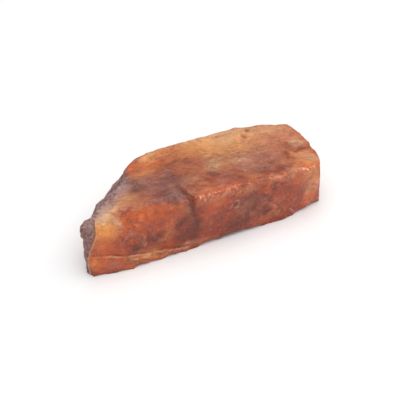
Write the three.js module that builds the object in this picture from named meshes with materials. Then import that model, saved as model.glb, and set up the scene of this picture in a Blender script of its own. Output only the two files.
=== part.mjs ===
// A rough piece of orange-brown jade: a wedge-ended bar that was split from a larger
// block and lies on its flat side. Long side along X with the pointed end at -X, front
// face towards -Y, millimetres, +Z up. The origin is the middle of the underside.
//
// The stone is one solid. Its surface is where the function outside(p) is zero: the
// broken faces are planes that meet in worn edges, and the ledge, the cracks, the chips
// and the relief are added to that one function. Every vertex of a finely divided box is
// then slid along a line from inside the stone until it lies on the surface.

import * as THREE from 'three';
import { mergeVertices } from 'three/addons/utils/BufferGeometryUtils.js';

// ---- driving dimensions, mm --------------------------------------------------------
const TIP_X = -40.1;         // the pointed left end, at the height of its bump
const END_X = 40.0;          // the blunt right end
const FRONT_Y = -9.7;        // the long front face
const BACK_Y = 20.5;         // the long back face, at x = 18
const TOP_Z = 18.6;          // the top face above x = 0
const TOP_FALL = 0.064;      // how fast the top falls towards the blunt end
const SHOULDER_Z = 20.05;    // the level part of the top, over the pointed end
const MID_Z = 12;            // the height at which the upright faces are placed
const WORN_EDGE = 0.3;       // how far the edges between faces are worn round
const SEGMENTS = { along: 60, across: 21, up: 14 };

// ---- the broken faces: a point on each, and the way out of the stone ----------------
const FACES = {
  top: { at: [0, 0, TOP_Z], out: [TOP_FALL, 0, 1] },
  shoulder: { at: [-28, 0, SHOULDER_Z], out: [-0.02, 0.02, 1] },
  ridge_bevel_left: { at: [-20, -8.6, 19], out: [-0.1, -1, 1] },
  ridge_bevel_right: { at: [10, -9.35, 17.7], out: [0.05, -1, 0.9] },
  front: { at: [0, FRONT_Y, 5], out: [0, -1, 0.03] },
  front_left: { at: [-34, -8.6, 4], out: [-0.2, -1, 0.02] },
  front_right: { at: [32.5, -8.8, 4], out: [0.2, -1, 0] },
  corner_right: { at: [38.1, -6.6, 8], out: [0.85, -0.52, 0.08] },
  end_front: { at: [39, -3, 9], out: [1, -0.2, 0.04] },
  end: { at: [END_X, 5, MID_Z], out: [1, 0.03, 0.04] },
  end_back: { at: [END_X - 0.8, 10, MID_Z], out: [0.97, 0.26, 0.05] },
  back_corner: { at: [38.6, 14.3, MID_Z], out: [0.72, 0.7, 0.05] },
  back_right: { at: [32, 16.7, MID_Z], out: [0.33, 1, 0.05] },
  back: { at: [18, BACK_Y, MID_Z], out: [-0.03, 1, 0.05] },
  back_left: { at: [-6, 19, MID_Z], out: [-0.068, 1, 0.05] },
  back_shoulder: { at: [-12, 17.8, MID_Z], out: [-0.38, 1, 0.05] },
  tip_front: { at: [-39, -6.6, 9], out: [-0.89, -0.45, 0] },
  tip: { at: [TIP_X, -3.5, 14], out: [-1, 0.1, 0] },
  tip_top: { at: [-38.5, -6, 18.3], out: [-0.75, 0.1, 1] },
};
// The slanting left side is two blocks grown together: a tall one behind, and a lower
// one in front of it whose top is a rough sloping strip.
const LEFT_TALL = {
  wall: { at: [-16.5, 15.1, 19], out: [-0.62, 0.78, 0.02] },
  return_wall: { at: [-22.6, 7.7, 19], out: [-0.865, 0.5, 0] },
};
const LEFT_LOW = {
  strip: { at: [-28.4, -1, 20.1], out: [-0.3, 0.42, 1] },
  wall: { at: [-32, 2.3, 15], out: [-0.7, 0.71, 0.03] },
};
const LEFT_JOIN = 0.4;       // how softly the two blocks run together

// Left of the crack the front rolls over into the top without an edge.
const ROUND_RIDGE = {
  sides: [['top', 'shoulder'], ['ridge_bevel_left'], ['front', 'front_left']],
  rounding: 1.3,
  ends: -5,                  // where it starts to run out, towards the blunt end
  runOut: 7,
  drop: 4,                   // lowered by this much, it no longer touches the stone
};

// ---- shell-shaped chips: balls knocked out of the faces and edges --------------------
const CHIPS = {
  tip_notch: { at: [-44.2, -5.2, 11], radius: 5.3 },
  tip_foot: { at: [-42, -7.5, -2.9], radius: 4.9 },
  foot_tip: { at: [-29.6, -13, -5], radius: 6.5 },
  foot_nick_left: { at: [-23.6, -11.6, -1], radius: 3 },
  foot_left: { at: [-20.6, -13.5, -7], radius: 8.6 },
  foot_nick_seam: { at: [-14.2, -11.6, -0.9], radius: 2.8 },
  foot_crack: { at: [-1.2, -13.6, -5.2], radius: 7.8 },
  foot_nick_middle: { at: [4.2, -11.4, -0.3], radius: 2.5 },
  foot_middle: { at: [8.5, -15.6, -21.6], radius: 23.9 },
  foot_nick_right: { at: [29.4, -11.4, -0.6], radius: 2.8 },
  foot_right: { at: [35, -14.8, -9], radius: 12.3 },
  front_shell: { at: [-25.2, -23, 6.6], radius: 14.15 },
  ring_shell: { at: [7, -13.6, 11.6], radius: 4.25 },
  small_shell: { at: [18.4, -13.9, 7.4], radius: 4.8 },
  end_notch: { at: [43.2, 0.3, 18.6], radius: 5.5 },
  end_foot: { at: [41.6, -5, -1.8], radius: 3.9 },
  end_shell: { at: [46.5, 6.5, 4], radius: 8.3 },
  back_notch: { at: [26.6, 24.2, 18.5], radius: 7.3 },
  back_dip: { at: [0.8, 23, 19], radius: 4.6 },
  back_shell: { at: [8, 33.2, 8], radius: 14.4 },
  back_foot: { at: [-3, 24.8, -4], radius: 8.4 },
  wall_shell: { at: [-36.5, 12.5, 5], radius: 9.6 },
  strip_notch: { at: [-37.2, 2, 20.4], radius: 6.3 },
};
const CHIP_EDGE = 0.2;       // chips keep sharper rims than the worn edges

// ---- low relief ---------------------------------------------------------------------
const FACE_WAVE = 0.12;      // the broken faces are not quite flat
const BEVEL_WAVE = 0.35;
const LUMPS = { height: 0.24, size: [9, 6, 6], shift: 0 };
const DIMPLES = { height: 0.2, size: [3.4, 3, 3], shift: 31.7 };
const DISHES = { height: 0.42, size: [5, 4.4, 4], shift: 51, mean: 0.28, worn: 0.09 };
const LEDGE = { depth: 0.8, rise: 0.8, bendX: -27.8, bendZ: 4.7, steep: 0.29, gentle: 0.185 };
const TIP_STEP = { depth: 0.7, height: 14.8, rise: 2, front: -8.2 };
const BACK_LEDGE = { depth: 0.6, rise: 0.7, height: 8.5, fall: 0.11 };
const CRACK = { depth: 0.6, width: 1.6 };
const GROOVE = { depth: 0.35, width: 0.8 };

// ---- small helpers --------------------------------------------------------------------
const mix = (a, b, t) => a + (b - a) * t;

/** Zero below 0, one above 1, and a smooth S between. */
function ramp(t) {
  const s = Math.min(1, Math.max(0, t));
  return s * s * (3 - 2 * s);
}

/** The value at x on straight lines through the points [x, value]. */
function along(points, x) {
  if (x <= points[0][0]) return points[0][1];
  for (let i = 1; i < points.length; i++) {
    const [x0, v0] = points[i - 1];
    const [x1, v1] = points[i];
    if (x <= x1) return mix(v0, v1, (x - x0) / (x1 - x0));
  }
  return points[points.length - 1][1];
}

/** The largest of the values, with the corner between them rounded by about round. */
function softMax(values, round) {
  const top = Math.max(...values);
  const sum = values.reduce((s, v) => s + Math.exp((v - top) / round), 0);
  return top + round * Math.log(sum);
}

function softMin(values, round) {
  return -softMax(values.map((v) => -v), round);
}

/** Unit-length planes with the height and the number of each one's wave, worked out once. */
function planes(faces) {
  return Object.entries(faces).map(([name, { at, out }], number) => {
    const length = Math.hypot(...out);
    const n = out.map((c) => c / length);
    const wave = name.includes('bevel') ? BEVEL_WAVE : FACE_WAVE;
    return { n, d: at[0] * n[0] + at[1] * n[1] + at[2] * n[2], wave, number };
  });
}

/** Height of a point over a plane, less the plane's own slow wave. */
function height({ n, d, wave, number }, [x, y, z]) {
  const lengthways = Math.sin(0.45 * x + 0.3 * y + 1.3 * number);
  const upwards = Math.sin(0.25 * x - 0.4 * y + 0.35 * z + 2.1 * number);
  return n[0] * x + n[1] * y + n[2] * z - d + wave * lengthways * upwards;
}

// ---- smooth noise -------------------------------------------------------------------
/** One number from -1 to 1 for each whole-numbered point of a lattice. */
function latticeValue(i, j, k) {
  let h = Math.imul(i, 73856093) ^ Math.imul(j, 19349663) ^ Math.imul(k, 83492791);
  h ^= h >>> 13;
  h = Math.imul(h, 1274126177);
  h ^= h >>> 16;
  return ((h >>> 0) / 4294967295) * 2 - 1;
}

/** Lattice values blended smoothly between the corners of cells of the given size. */
function noise([x, y, z], size, shift) {
  const cell = [(x + shift) / size[0], (y + shift) / size[1], (z + shift) / size[2]];
  const low = cell.map(Math.floor);
  const t = cell.map((c, a) => ramp(c - low[a]));
  let sum = 0;
  for (let corner = 0; corner < 8; corner++) {
    const step = [corner & 1, (corner >> 1) & 1, corner >> 2];
    const weight = step.reduce((w, s, a) => w * (s ? t[a] : 1 - t[a]), 1);
    sum += weight * latticeValue(low[0] + step[0], low[1] + step[1], low[2] + step[2]);
  }
  return sum;
}

// ---- the features that the faces carry ------------------------------------------------
/** Above a seam that falls from the tip to the crack, the front is set back. */
function ledge([x, y, z]) {
  const slope = x < LEDGE.bendX ? LEDGE.steep : LEDGE.gentle;
  const seam = LEDGE.bendZ - slope * (x - LEDGE.bendX);
  const front = ramp((-5 - y) / 3);
  const above = ramp((z - seam) / LEDGE.rise + 0.5);
  return LEDGE.depth * front * above * ramp((-4 - x) / 4);
}

/** The end of the tip is set back below its bump. */
function tipStep([x, y, z]) {
  const below = ramp((TIP_STEP.height - z) / TIP_STEP.rise);
  return TIP_STEP.depth * below * ramp((-36.5 - x) / 2) * ramp((y - TIP_STEP.front) / 2);
}

/** The back is split along the same bed, and is set back above it. */
function backLedge([x, y, z]) {
  const seam = BACK_LEDGE.height - BACK_LEDGE.fall * x;
  const above = ramp((z - seam) / BACK_LEDGE.rise + 0.5);
  return BACK_LEDGE.depth * above * ramp((y - 9 - 0.25 * x) / 3) * ramp((26 - x) / 8);
}

/** An old crack: over the front part of the top, across the ridge and down the front. */
function crack([x, y, z]) {
  const bend = -5.2 - 0.01 * (z - 8) ** 2 - 0.13 * (y + 9.5);
  const across = (x - bend) / CRACK.width;
  return CRACK.depth * Math.exp(-across * across) * ramp((1 - y) / 5) * ramp((z - 1) / 6);
}

/** A short open seam that runs out of the top at the blunt end. */
function groove([x, y, z]) {
  const across = (y - 1.4 - 0.12 * (x - 34)) / GROOVE.width;
  return GROOVE.depth * Math.exp(-across * across) * ramp((x - 30) / 3) * ramp((z - 12) / 4);
}

/** Smooth hollows that meet in worn ridges, deepest on the front. */
function dishes(p) {
  const { height: depth, size, shift, mean, worn } = DISHES;
  const front = ramp((-6 - p[1]) / 3);
  return depth * (Math.hypot(noise(p, size, shift), worn) - mean) * (0.45 + 0.55 * front);
}

function relief(p) {
  const lumps = [LUMPS, DIMPLES].map((r) => r.height * noise(p, r.size, r.shift));
  return lumps[0] + lumps[1] + dishes(p);
}

// ---- the stone as one function of a point ----------------------------------------------
const facePlanes = planes(FACES);
const ridgeSides = ROUND_RIDGE.sides.map((names) => names.map((name) => Object.keys(FACES).indexOf(name)));
const tallPlanes = planes(LEFT_TALL);
const lowPlanes = planes(LEFT_LOW);
const chipBalls = Object.values(CHIPS);

/** The soft corner between front, bevel and top, let down where the ridge is sharp. */
function roundRidge(x, heights) {
  const sides = ridgeSides.map((picks) => Math.max(...picks.map((i) => heights[i])));
  const share = ramp((ROUND_RIDGE.ends - x) / ROUND_RIDGE.runOut);
  return softMax(sides, ROUND_RIDGE.rounding) - ROUND_RIDGE.drop * (1 - share);
}

/** About how far the point p is outside the stone; negative inside. */
function outside(p) {
  const heights = facePlanes.map((plane) => height(plane, p));
  const tall = softMax(tallPlanes.map((plane) => height(plane, p)), WORN_EDGE);
  const low = softMax(lowPlanes.map((plane) => height(plane, p)), WORN_EDGE);
  heights.push(roundRidge(p[0], heights), softMin([tall, low], LEFT_JOIN));
  const block = softMax(heights, WORN_EDGE);
  const steps = ledge(p) + tipStep(p) + backLedge(p);
  const carved = block + relief(p) + steps + crack(p) + groove(p);
  const chips = chipBalls.map(
    ({ at, radius }) => radius - Math.hypot(p[0] - at[0], p[1] - at[1], p[2] - at[2]),
  );
  return Math.max(softMax([carved, ...chips], CHIP_EDGE), -p[2]);
}

// ---- lines from inside the stone to a box just round it -----------------------------------
const SIDES = {
  left: [[-10.3, -37.2], [-4.5, -40.2], [17.5, -12.6]],
  right: [[-10.3, 39.0], [-6.6, 39.4], [5, 41.2], [14.5, 39.8]],
  front: [[-37, -8.8], [-30, -10.3], [28, -10.3], [39, -7.6]],
  back: [[-12, 17.4], [22, 20.4], [39, 15.2]],
};
const BOX_FRONT = -10.3;
const BOX_BACK = 19.1;
const BOX_FOOT = -0.6;
const BOX_TOP = 19.3;
const SPINE = { reach: 27, z: 9, y: [[-1, -3], [-0.2, 3], [1, 4]] };

/** The start and the far end of the line for the box point (u, v, w), each -1 to 1. */
function line(u, v, w) {
  const yGuess = mix(BOX_FRONT, BOX_BACK, (v + 1) / 2);
  const x = mix(along(SIDES.left, yGuess), along(SIDES.right, yGuess), (u + 1) / 2);
  const y = mix(along(SIDES.front, x), along(SIDES.back, x), (v + 1) / 2);
  const z = mix(BOX_FOOT, BOX_TOP - TOP_FALL * x, (w + 1) / 2);
  return { from: [u * SPINE.reach, along(SPINE.y, u), SPINE.z], to: [x, y, z] };
}

/** The point where the line leaves the stone, found by halving the stretch it lies in. */
function surfacePoint(u, v, w) {
  const { from, to } = line(u, v, w);
  const at = (t) => from.map((c, a) => mix(c, to[a], t));
  let inner = 0.1;
  let outer = 1.6;
  for (let step = 0; step < 30; step++) {
    const middle = (inner + outer) / 2;
    if (outside(at(middle)) > 0) outer = middle;
    else inner = middle;
  }
  const point = at(inner);
  const onUnderside = Math.abs(point[2]) < 1e-4;
  return onUnderside ? [point[0], point[1], 0] : point;
}

/** The whole surface: a divided box, welded at its edges, with every vertex slid into place. */
function stoneGeometry() {
  const { along: nx, across: ny, up: nz } = SEGMENTS;
  const box = new THREE.BoxGeometry(2, 2, 2, nx, ny, nz);
  box.deleteAttribute('normal');
  box.deleteAttribute('uv');
  const geometry = mergeVertices(box);
  const position = geometry.attributes.position;
  for (let i = 0; i < position.count; i++) {
    const uvw = [position.getX(i), position.getY(i), position.getZ(i)];
    position.setXYZ(i, ...surfacePoint(...uvw));
  }
  geometry.computeBoundingBox();
  const { min, max } = geometry.boundingBox;
  geometry.translate(-(min.x + max.x) / 2, -(min.y + max.y) / 2, -min.z);
  geometry.computeVertexNormals();
  return geometry;
}

const jade = new THREE.MeshStandardMaterial({ color: 0xad6d55, roughness: 0.5, metalness: 0 });

const stone = new THREE.Mesh(stoneGeometry(), jade);
stone.name = 'raw_jade';

const part = new THREE.Group();
part.add(stone);

export default part;
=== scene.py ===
# %% [markdown]
# # A rough piece of orange-brown jade
#
# The object is one stone: a bar about 80 mm long with a pointed end, broken out of a
# larger block and lying on its flat side. It is waxy, slightly see-through, and clouded
# with amber, rust and plum. The lesson makes it in five steps: the shape as one formula,
# the formula turned into a mesh, the clouds of colour, the finish, and the studio.
#
# We start from the frame, the plain solid that fixes the size and the place of the stone.
# Blender may dress it but never moves or resizes it. The frame is in metres; the stone
# is easier to think about in millimetres, so most of this file works in millimetres.

import bpy
import numpy as np
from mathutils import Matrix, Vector


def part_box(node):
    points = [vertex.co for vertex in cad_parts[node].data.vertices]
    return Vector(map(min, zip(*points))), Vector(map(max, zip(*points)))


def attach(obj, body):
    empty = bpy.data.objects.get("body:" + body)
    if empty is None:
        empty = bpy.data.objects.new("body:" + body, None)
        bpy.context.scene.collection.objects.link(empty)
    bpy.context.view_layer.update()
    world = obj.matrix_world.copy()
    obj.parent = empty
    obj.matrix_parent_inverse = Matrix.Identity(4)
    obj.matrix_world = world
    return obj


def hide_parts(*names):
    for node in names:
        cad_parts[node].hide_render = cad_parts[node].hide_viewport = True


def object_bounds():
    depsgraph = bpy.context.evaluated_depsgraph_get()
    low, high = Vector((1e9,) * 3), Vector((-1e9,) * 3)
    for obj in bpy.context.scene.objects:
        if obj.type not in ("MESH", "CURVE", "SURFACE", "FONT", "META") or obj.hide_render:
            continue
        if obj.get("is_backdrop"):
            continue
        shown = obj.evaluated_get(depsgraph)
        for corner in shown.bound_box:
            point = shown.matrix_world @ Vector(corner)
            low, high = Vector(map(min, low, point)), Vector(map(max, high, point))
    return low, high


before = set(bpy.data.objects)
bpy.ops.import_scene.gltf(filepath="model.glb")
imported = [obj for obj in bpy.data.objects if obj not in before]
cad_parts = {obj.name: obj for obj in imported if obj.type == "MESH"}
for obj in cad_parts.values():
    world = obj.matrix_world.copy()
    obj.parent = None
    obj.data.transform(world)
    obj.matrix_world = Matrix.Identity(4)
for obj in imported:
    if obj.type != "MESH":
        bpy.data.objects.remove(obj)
cad_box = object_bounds()
MM = 0.001
node_low, node_high = (np.array(corner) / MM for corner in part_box("raw_jade"))
print("the stone measures", np.round(node_high - node_low, 1), "mm")

# %% [markdown]
# ## The shape: one formula for the whole stone
#
# A broken stone is a set of rough faces that meet in edges. It could be carved by hand in
# sculpt mode, or cut from a block with booleans. Here it is written as one function of
# space instead, `outside(p)`: about how far a point lies outside the stone, negative
# within it. Everything on the stone is then a term of that function, which can be read,
# changed and worked out for a hundred thousand points at once with numpy.
#
# The first term is a list of planes, each with a point on it and its way out of the
# stone. A point is inside when it is behind every plane. These are the same planes as in
# the frame, in the stone's own axes: X along the bar, front face towards -Y.

# %% The broken faces
END_X = 40.0
FACE_WAVE, BEVEL_WAVE = 0.12, 0.35
TOP_Z, TOP_FALL, MID_Z = 18.6, 0.064, 12.0
FACES = {
    "top": ((0, 0, TOP_Z), (TOP_FALL, 0, 1)),
    "shoulder": ((-28, 0, 20.05), (-0.02, 0.02, 1)),
    "ridge_bevel_left": ((-20, -8.6, 19), (-0.1, -1, 1)),
    "ridge_bevel_right": ((10, -9.35, 17.7), (0.05, -1, 0.9)),
    "front": ((0, -9.7, 5), (0, -1, 0.03)),
    "front_left": ((-34, -8.6, 4), (-0.2, -1, 0.02)),
    "front_right": ((32.5, -8.8, 4), (0.2, -1, 0)),
    "corner_right": ((38.1, -6.6, 8), (0.85, -0.52, 0.08)),
    "end_front": ((39.0, -3, 9), (1, -0.2, 0.04)),
    "end": ((END_X, 5, MID_Z), (1, 0.03, 0.04)),
    "end_back": ((END_X - 0.8, 10, MID_Z), (0.97, 0.26, 0.05)),
    "back_corner": ((38.6, 14.3, MID_Z), (0.72, 0.7, 0.05)),
    "back_right": ((32, 16.7, MID_Z), (0.33, 1, 0.05)),
    "back": ((18, 20.5, MID_Z), (-0.03, 1, 0.05)),
    "back_left": ((-6, 19.0, MID_Z), (-0.068, 1, 0.05)),
    "back_shoulder": ((-12, 17.8, MID_Z), (-0.38, 1, 0.05)),
    "tip_front": ((-39, -6.6, 9), (-0.89, -0.45, 0)),
    "tip": ((-40.1, -3.5, 14), (-1, 0.1, 0)),
    "tip_top": ((-38.5, -6, 18.3), (-0.75, 0.1, 1)),
}
LEFT_TALL = {
    "wall": ((-16.5, 15.1, 19), (-0.62, 0.78, 0.02)),
    "return_wall": ((-22.6, 7.7, 19), (-0.865, 0.5, 0)),
}
LEFT_LOW = {
    "strip": ((-28.4, -1, 20.1), (-0.30, 0.42, 1)),
    "wall": ((-32, 2.3, 15), (-0.70, 0.71, 0.03)),
}


def face_heights(p, faces):
    """Height over each plane, (p - point on plane) . unit way out, less its own slow wave."""
    at = np.array([face[0] for face in faces.values()], float)
    out = np.array([face[1] for face in faces.values()], float)
    out /= np.linalg.norm(out, axis=1)[:, None]
    depth = np.array([BEVEL_WAVE if "bevel" in name else FACE_WAVE for name in faces])
    number = np.arange(len(faces))
    lengthways = np.sin((p @ [0.45, 0.3, 0])[:, None] + 1.3 * number)
    upwards = np.sin((p @ [0.25, -0.4, 0.35])[:, None] + 2.1 * number)
    return p @ out.T - (at * out).sum(1) + depth * lengthways * upwards


print(len(FACES) + len(LEFT_TALL) + len(LEFT_LOW), "broken faces")

# %% [markdown]
# ## Worn edges, and noise for everything uneven
#
# The plain maximum of the plane heights would give knife edges. A soft maximum, the
# logarithm of a sum of exponentials, rounds them by about the given amount, as handling
# does. For lumps and grain we need noise that is the same on every machine: a whole
# number for each corner of a lattice is scrambled into a value from -1 to 1, and the
# eight corners round a point are blended with a smooth S curve.

# %% Soft corners, ramps and noise
def soft_max(values, rounding):
    """top + r log(sum exp((value - top) / r)) along the last axis."""
    top = values.max(-1)
    total = np.exp((values - top[..., None]) / rounding).sum(-1)
    return top + rounding * np.log(total)


def ramp(t):
    """0 below 0, 1 above 1, and the S curve t t (3 - 2 t) between."""
    t = np.clip(t, 0, 1)
    return t * t * (3 - 2 * t)


def lattice_value(i, j, k):
    """A number from -1 to 1 for each whole-numbered lattice point."""
    h = i.astype(np.uint32) * np.uint32(73856093)
    h ^= j.astype(np.uint32) * np.uint32(19349663)
    h ^= k.astype(np.uint32) * np.uint32(83492791)
    h ^= h >> np.uint32(13)
    h *= np.uint32(1274126177)
    h ^= h >> np.uint32(16)
    return h / 4294967295.0 * 2 - 1


def noise(p, size, shift=0.0):
    """Lattice values blended between the corners of cells of the given size, in mm."""
    cell = (p + shift) / np.array(size, float)
    low = np.floor(cell).astype(np.int64)
    t = ramp(cell - low)
    total = 0.0
    for corner in range(8):
        step = np.array([corner & 1, corner >> 1 & 1, corner >> 2])
        weight = np.where(step == 1, t, 1 - t).prod(-1)
        total = total + weight * lattice_value(*(low + step).T)
    return total


sample = noise(np.random.default_rng(1).uniform(-30, 30, (20000, 3)), (3, 3, 3))
print("noise runs from %.2f to %.2f" % (sample.min(), sample.max()))

# %% [markdown]
# ## Chips, a ledge, a crack and pits
#
# Jade breaks in shallow shells, so a chip is a ball taken out of a face or an edge. The
# front carries a ledge, where a lower layer stands a little proud, and an old crack runs
# over the ridge. Near the ridge there are a few small pits. These could be sculpted or
# cut with booleans; as terms of the formula they blend into the face for free.

# %% Chips and pits
CHIPS = {
    "tip_notch": ((-44.2, -5.2, 11), 5.3),
    "tip_foot": ((-42, -7.5, -2.9), 4.9),
    "foot_tip": ((-29.6, -13, -5), 6.5),
    "foot_nick_left": ((-23.6, -11.6, -1), 3.0),
    "foot_left": ((-20.6, -13.5, -7), 8.6),
    "foot_nick_seam": ((-14.2, -11.6, -0.9), 2.8),
    "foot_crack": ((-1.2, -13.6, -5.2), 7.8),
    "foot_nick_middle": ((4.2, -11.4, -0.3), 2.5),
    "foot_middle": ((8.5, -15.6, -21.6), 23.9),
    "foot_nick_right": ((29.4, -11.4, -0.6), 2.8),
    "foot_right": ((35, -14.8, -9), 12.3),
    "front_shell": ((-25.2, -23, 6.6), 14.15),
    "ring_shell": ((7, -13.6, 11.6), 4.25),
    "small_shell": ((18.4, -13.9, 7.4), 4.8),
    "end_notch": ((43.2, 0.3, 18.6), 5.5),
    "end_foot": ((41.6, -5, -1.8), 3.9),
    "end_shell": ((46.5, 6.5, 4), 8.3),
    "back_notch": ((26.6, 24.2, 18.5), 7.3),
    "back_dip": ((0.8, 23, 19), 4.6),
    "back_shell": ((8, 33.2, 8), 14.4),
    "back_foot": ((-3, 24.8, -4), 8.4),
    "wall_shell": ((-36.5, 12.5, 5), 9.6),
    "strip_notch": ((-37.2, 2, 20.4), 6.3),
}
PITS = {
    "ridge_pit_far": ((4, -9.6, 18.3), 0.55),
    "ridge_pit_left": ((9.5, -9.4, 18.0), 0.6),
    "ridge_pit_middle": ((13.4, -9.3, 17.8), 0.75),
    "ridge_pit_right": ((15.3, -8.9, 17.9), 0.6),
    "ridge_pit_end": ((24.5, -9.2, 17.3), 0.6),
    "bevel_pit": ((-19, -9.6, 18.2), 0.6),
    "face_pit": ((-19.5, -9.8, 15.8), 0.5),
    "crack_pit": ((-12.2, -9.8, 14), 0.6),
    "seam_hole": ((-17.2, -10.2, 2.0), 0.6),
    "seam_hole_right": ((-8.6, -10.2, 1.2), 0.6),
    "back_pit": ((23.9, 15.4, 17.5), 0.6),
    "back_pit_small": ((21.3, 12.6, 17.5), 0.55),
}


def ball_cuts(p, balls):
    """radius - distance to each ball's centre: positive where the ball cuts."""
    depth = [r - np.linalg.norm(p - np.array(at), axis=-1) for at, r in balls.values()]
    return np.stack(depth, -1)


# %% The ledge and the bed behind
SEAM_BEND_X, SEAM_BEND_Z = -27.8, 4.7
SEAM_FALL_TIP, SEAM_FALL = 0.29, 0.185
LEDGE_DEPTH, TIP_STEP_DEPTH, BACK_LEDGE_DEPTH = 0.8, 0.7, 0.6


def over_seam(p):
    """Height over the ledge's seam, which falls from the tip, then more gently to the crack."""
    x, y, z = p.T
    fall = np.where(x < SEAM_BEND_X, SEAM_FALL_TIP, SEAM_FALL)
    return z - (SEAM_BEND_Z - fall * (x - SEAM_BEND_X)) - 0.12 * noise(p, (2, 2, 2), 6.0)


def ledge(p):
    """Above the seam the front is set back, as far as the crack."""
    x, y, z = p.T
    front = ramp((-5 - y) / 3)
    return LEDGE_DEPTH * front * ramp(over_seam(p) / 0.5 + 0.5) * ramp((-4 - x) / 4)


def tip_step(p):
    """The end of the tip is set back below its bump."""
    x, y, z = p.T
    return TIP_STEP_DEPTH * ramp((14.8 - z) / 2) * ramp((-36.5 - x) / 2) * ramp((y + 8.2) / 2)


def back_ledge(p):
    """The back is split along the same bed and set back above it."""
    x, y, z = p.T
    above = ramp((z - 8.5 + 0.11 * x - 0.2 * noise(p, (2, 2, 2), 6.0)) / 0.4 + 0.5)
    return BACK_LEDGE_DEPTH * above * ramp((y - 9 - 0.25 * x) / 3) * ramp((26 - x) / 8)


# %% The crack and two open seams
CRACK_X = -5.2
VALLEY_DEPTH, VALLEY_WIDTH = 0.5, 1.5
OPENING_DEPTH, OPENING_WIDTH = 0.6, 0.33


def crack_line(p):
    """Distance along X to the bent plane of the old crack."""
    x, y, z = p.T
    wander = 0.35 * noise(p, (2.5, 2.5, 2.5), 5.0)
    return x - CRACK_X + 0.01 * (z - 8) ** 2 + 0.13 * (y + 9.5) + wander


def crack(p):
    """A wide shallow valley with a narrow open line along its middle."""
    x, y, z = p.T
    across = crack_line(p)
    valley = VALLEY_DEPTH * np.exp(-((across / VALLEY_WIDTH) ** 2)) * ramp((z - 1) / 6)
    opening = OPENING_DEPTH * np.exp(-((across / OPENING_WIDTH) ** 2)) * ramp((z - 13) / 4)
    return valley * ramp((1 - y) / 5) + opening * ramp((1 - y) / 7)


def tip_line(p):
    """Distance from the line that parts the grey end of the tip from the orange front."""
    x, y, z = p.T
    lean = 0.36 * np.clip(14.5 - z, 0, 8)
    return 0.9 * x - 0.44 * y + 28.6 + lean + 0.25 * noise(p, (1.6, 1.6, 1.6), 15.0)


def open_seams(p):
    """A seam that runs out of the top at the blunt end, and one down the tip's front."""
    x, y, z = p.T
    across = y - 1.4 - 0.12 * (x - 34) + 0.25 * noise(p, (2, 2, 2), 9.0)
    wide = 0.2 * np.exp(-((across / 0.8) ** 2)) + 0.45 * np.exp(-((across / 0.3) ** 2))
    end = wide * ramp((x - 31) / 2.5) * ramp((z - 12) / 4)
    tip = np.exp(-(((tip_line(p) + 0.6) / 0.35) ** 2)) * ramp((z - 11) / 4) * ramp((-4 - y) / 2)
    return end + 0.6 * tip


print(len(CHIPS), "chips and", len(PITS), "pits")

# %% [markdown]
# ## Relief: lumps, grain and ragged edges
#
# Three scales of unevenness make the faces read as broken jade. Lumps a few millimetres
# across catch the light, with shallow dishes between them where shells broke off. Sugary
# grain of half a millimetre stands up on the sloping strip at the left and along the
# crumbled parts of the ridge. Fine grooves run lengthways over the top. Edges are nibbled:
# where two planes are nearly level the noise may bite deeper.

# %% Relief
WORN_EDGE, CHIP_EDGE, LEFT_JOIN = 0.3, 0.12, 0.4
RIDGE_SIDES = [("top", "shoulder"), ("ridge_bevel_left",), ("front", "front_left")]
RIDGE_SIDES = [[list(FACES).index(name) for name in names] for names in RIDGE_SIDES]
RIDGE_ROUNDING = 1.3
STREAK_TURN = np.radians(-15)
DISH_MEAN, DISH_WORN = 0.28, 0.09
DISHES = {(5, 4.4, 4): (0.42, 51.0), (2.4, 2, 2): (0.2, 61.0), (1.2, 1, 1): (0.1, 69.0)}
CRUMBLED = {"beside the crack": (-2.5, 4.2), "by the ringed pit": (8.6, 2.4), "right end": (31, 3.8)}


def strip_side(p):
    """Distance outwards from the crease where the top breaks down into the sloping strip."""
    x, y, z = p.T
    return (0.42 * (y + 1) - 0.30 * (x + 28.4)) / 0.516 + 0.5 * noise(p, (2, 2, 2), 21.0)


def rough_share(p):
    """0 on the smooth faces, 1 on the sugary strip and tip at the left."""
    x, y, z = p.T
    strip = ramp(strip_side(p) / 0.9 + 0.3) * ramp((-17 - x) / 4)
    strip = strip * ramp((z - 9 + 5 * noise(p, (4, 4, 4), 33.0)) / 4)
    return np.maximum(strip, ramp(-tip_line(p) / 0.8) * ramp((-2.5 - y) / 2))


def ridge_share(p):
    """1 where the ridge between top and front has crumbled, a little along the rest of it."""
    x, y, z = p.T
    near = np.exp(-(((z - 17.7 + 0.05 * x) / 1.3) ** 2)) * ramp(-7.4 - y)
    crumbled = [np.exp(-(((x - middle) / reach) ** 2)) for middle, reach in CRUMBLED.values()]
    return near * (0.15 + 0.85 * np.max(crumbled, axis=0))


def streaks(p):
    """Noise drawn out along a line turned a little from X: fine lengthways grooves."""
    x, y, z = p.T
    along = x * np.cos(STREAK_TURN) + y * np.sin(STREAK_TURN)
    across = -x * np.sin(STREAK_TURN) + y * np.cos(STREAK_TURN)
    q = np.stack([along, across, z + 0.3 * x], -1)
    return 0.6 * noise(q, (6, 1.1, 1.4), 3.0) + 0.4 * noise(q, (3, 0.9, 1.1), 8.0)


def dish(p, size, shift):
    """sqrt(noise^2 + worn^2) less its mean: smooth hollows that meet in worn ridges."""
    return np.sqrt(noise(p, size, shift) ** 2 + DISH_WORN**2) - DISH_MEAN


def dishes(p):
    """Three sizes of hollow, each times its depth, as shell breaks leave them."""
    return sum(depth * dish(p, size, shift) for size, (depth, shift) in DISHES.items())


def sugar(p):
    """Noise of a millimetre or less: the sugary grain."""
    return noise(p, (0.95, 0.9, 0.9), 2.2)


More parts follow.
